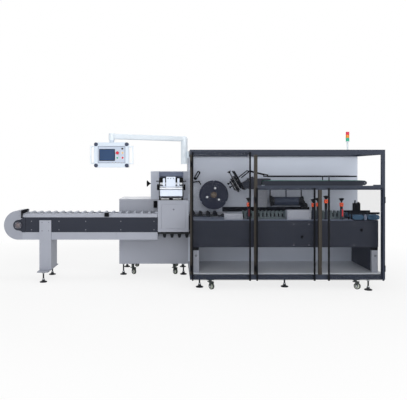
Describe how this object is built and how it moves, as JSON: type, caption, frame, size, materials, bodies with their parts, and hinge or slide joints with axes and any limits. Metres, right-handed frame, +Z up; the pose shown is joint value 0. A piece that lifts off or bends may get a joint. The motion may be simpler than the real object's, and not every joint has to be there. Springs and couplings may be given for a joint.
{
  "type": "automatic cartoner",
  "caption": "Carton packing machine with a bucket infeed conveyor, glazed guard doors, carton magazine, leaflet folder and a control panel on a swivel arm.",
  "frame": {"origin": "floor level, under the middle of the machine's overall length and depth", "axes": "+X along the product flow towards the discharge, +Y away from the operator, +Z up"},
  "size_m": [4.88, 1.55, 2.0152],
  "materials": {
    "frame_tube": "satin",
    "main_wall": "satin",
    "grey_panel": "satin",
    "dark_panel": "satin",
    "clear_leaf": "clear",
    "black_profile": "matte",
    "steel": "brushed",
    "aluminium": "satin",
    "lug_dark": "satin",
    "indicator_orange": "gloss",
    "green_belt": "matte",
    "blue_belt": "matte",
    "bucket_grey": "matte",
    "deck_steel": "brushed",
    "bucket_black": "matte",
    "white_shell": "satin",
    "screen_glass": "gloss",
    "button_red": "gloss",
    "lens_amber": "gloss",
    "foot_black": "matte",
    "caster_grey": "matte"
  },
  "bodies": {
    "machine_frame": {"guard_posts": "frame_tube", "guard_long_beams": "frame_tube", "guard_cross_beams": "frame_tube", "floor_pan": "grey_panel", "main_wall": "main_wall", "rear_housing": "grey_panel", "door_hinges": "black_profile", "side_panel": "clear_leaf", "apron_panels": "dark_panel", "transport_bed": "dark_panel", "deck_plate": "deck_steel", "bed_pedestals": "grey_panel", "carton_lugs": "lug_dark", "grey_covers": "grey_panel", "spindles": "black_profile", "position_indicators": "indicator_orange", "shaft_bearings": "dark_panel", "magazine_frame": "dark_panel", "magazine_belt": "green_belt", "belt_rollers": "steel", "carton_guides": "black_profile", "feed_chute": "dark_panel", "pick_head": "black_profile", "folding_drum": "black_profile", "discharge_belts": "blue_belt", "infeed_side_frames": "dark_panel", "infeed_rails": "grey_panel", "infeed_end_guard": "grey_panel", "chain_wheels": "steel", "bucket_chain": "bucket_black", "bucket_flights": "bucket_grey", "infeed_leg": "grey_panel", "sensor_heads": "black_profile", "drive_cabinet": "grey_panel", "upper_cabinet": "grey_panel", "leaflet_housing": "grey_panel", "folder_frame": "black_profile", "folder_plates": "aluminium", "folder_rollers": "steel", "folder_knobs": "black_profile", "arm_bracket": "white_shell", "signal_pole": "white_shell", "signal_lenses": "lens_amber", "levelling_feet": "foot_black", "caster_forks": "foot_black", "caster_wheels": "caster_grey"},
    "left_door": {"left_door_leaf": "clear_leaf", "left_door_profiles": "black_profile"},
    "middle_door": {"middle_door_leaf": "clear_leaf", "middle_door_profiles": "black_profile"},
    "right_door": {"right_door_leaf": "clear_leaf", "right_door_profiles": "black_profile"},
    "pendant_arm": {"pendant_arm": "white_shell"},
    "control_panel": {"panel_box": "white_shell", "panel_caps": "black_profile", "panel_screen": "screen_glass", "panel_buttons": "button_red", "panel_handles": "white_shell"},
    "carton_reel": {"carton_reel": "dark_panel"}
  },
  "joints": [
    {"name": "left_door_hinge", "type": "hinge", "parent": "machine_frame", "child": "left_door", "pos_m": [0.05, -0.76, 0.912], "axis": [0, 0, -1], "range_deg": [0, 110]},
    {"name": "middle_door_hinge", "type": "hinge", "parent": "machine_frame", "child": "middle_door", "pos_m": [0.84, -0.76, 0.691], "axis": [0, 0, -1], "range_deg": [0, 110]},
    {"name": "right_door_hinge", "type": "hinge", "parent": "machine_frame", "child": "right_door", "pos_m": [2.43, -0.76, 0.691], "axis": [0, 0, 1], "range_deg": [0, 110]},
    {"name": "arm_swivel", "type": "hinge", "parent": "machine_frame", "child": "pendant_arm", "pos_m": [-0.02, -0.185, 1.735], "axis": [0, 0, 1], "range_deg": [-74, 31]},
    {"name": "panel_swivel", "type": "hinge", "parent": "pendant_arm", "child": "control_panel", "pos_m": [-0.9296, -0.6892, 1.87], "axis": [0, 0, 1], "range_deg": [-45, 45]},
    {"name": "reel_spin", "type": "hinge", "parent": "machine_frame", "child": "carton_reel", "pos_m": [0.387, -0.045, 1.138], "axis": [0, 1, 0], "continuous": true}
  ]
}
